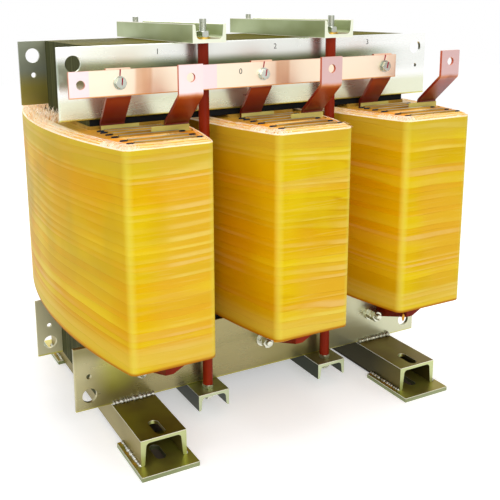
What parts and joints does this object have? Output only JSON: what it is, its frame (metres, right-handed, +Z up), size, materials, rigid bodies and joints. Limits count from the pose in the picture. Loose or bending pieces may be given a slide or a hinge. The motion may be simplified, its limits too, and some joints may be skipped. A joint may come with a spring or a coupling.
{
  "type": "dry type transformer",
  "caption": "Open three-phase dry type transformer: taped resin-soaked coils on a laminated core, held by flat steel clamps, cross-channels and channel feet, with bent copper terminals.",
  "frame": {"origin": "on the ground, midway between the outer coils and between front and back", "axes": "+X along the row of coils, -Y towards the terminal side, +Z up"},
  "size_m": [0.732, 0.58, 0.702],
  "materials": {
    "core_steel": "stacked electrical steel, dark oxide edges",
    "zinc_steel": "zinc plate with pale yellow passivate",
    "zinc_channel": "zinc plate with olive passivate",
    "weld_metal": "bright weld bead",
    "fastener_steel": "bright zinc",
    "red_insulation": "red-brown glass laminate",
    "resin_tape": "glass tape soaked in amber resin",
    "resin_tape_inner": "layered insulation edges under amber resin",
    "board": "resin-soaked board",
    "duct_board": "grey duct board",
    "pad_paper": "cream insulating paper",
    "copper": "bare copper, darkened in the flame near the bends"
  },
  "bodies": {
    "root": {"base_plate_back_left": "zinc_channel", "base_plate_back_right": "zinc_channel", "base_plate_front_left": "zinc_channel", "base_plate_front_right": "zinc_channel", "base_plate_weld_beads": "weld_metal", "coil_duct_spacers_left": "duct_board", "coil_duct_spacers_middle": "duct_board", "coil_duct_spacers_right": "duct_board", "coil_former_left": "board", "coil_former_middle": "board", "coil_former_right": "board", "coil_inner_winding_left": "resin_tape_inner", "coil_inner_winding_middle": "resin_tape_inner", "coil_inner_winding_right": "resin_tape_inner", "coil_outer_winding_left": "resin_tape", "coil_outer_winding_middle": "resin_tape", "coil_outer_winding_right": "resin_tape", "coil_support_blocks": "red_insulation", "core_limb_left": "core_steel", "core_limb_middle": "core_steel", "core_limb_right": "core_steel", "core_yoke_lower": "core_steel", "core_yoke_upper": "core_steel", "foot_channel_left": "zinc_channel", "foot_channel_right": "zinc_channel", "foot_weld_beads": "weld_metal", "lead_pads": "pad_paper", "lower_clamp_back": "zinc_steel", "lower_clamp_front": "zinc_steel", "lower_cross_channel_left": "zinc_channel", "lower_cross_channel_right": "zinc_channel", "neutral_bar": "copper", "neutral_bar_bolts": "fastener_steel", "neutral_bar_nuts": "fastener_steel", "neutral_bar_washers": "fastener_steel", "neutral_lead_left": "copper", "neutral_lead_middle": "copper", "neutral_lead_right": "copper", "terminal_lead_left": "copper", "terminal_lead_middle": "copper", "terminal_lead_right": "copper", "tie_rod_back_left": "fastener_steel", "tie_rod_back_right": "fastener_steel", "tie_rod_front_left": "fastener_steel", "tie_rod_front_right": "fastener_steel", "tie_rod_nuts": "fastener_steel", "tie_rod_sleeve_back_left": "red_insulation", "tie_rod_sleeve_back_right": "red_insulation", "tie_rod_sleeve_front_left": "red_insulation", "tie_rod_sleeve_front_right": "red_insulation", "tie_rod_thin_nuts": "fastener_steel", "tie_rod_washers": "fastener_steel", "upper_clamp_back": "zinc_steel", "upper_clamp_front": "zinc_steel", "upper_cross_channel_left": "zinc_channel", "upper_cross_channel_right": "zinc_channel", "yoke_bolt_nuts": "fastener_steel", "yoke_bolt_studs": "fastener_steel", "yoke_bolt_washers": "fastener_steel"}
  },
  "joints": []
}
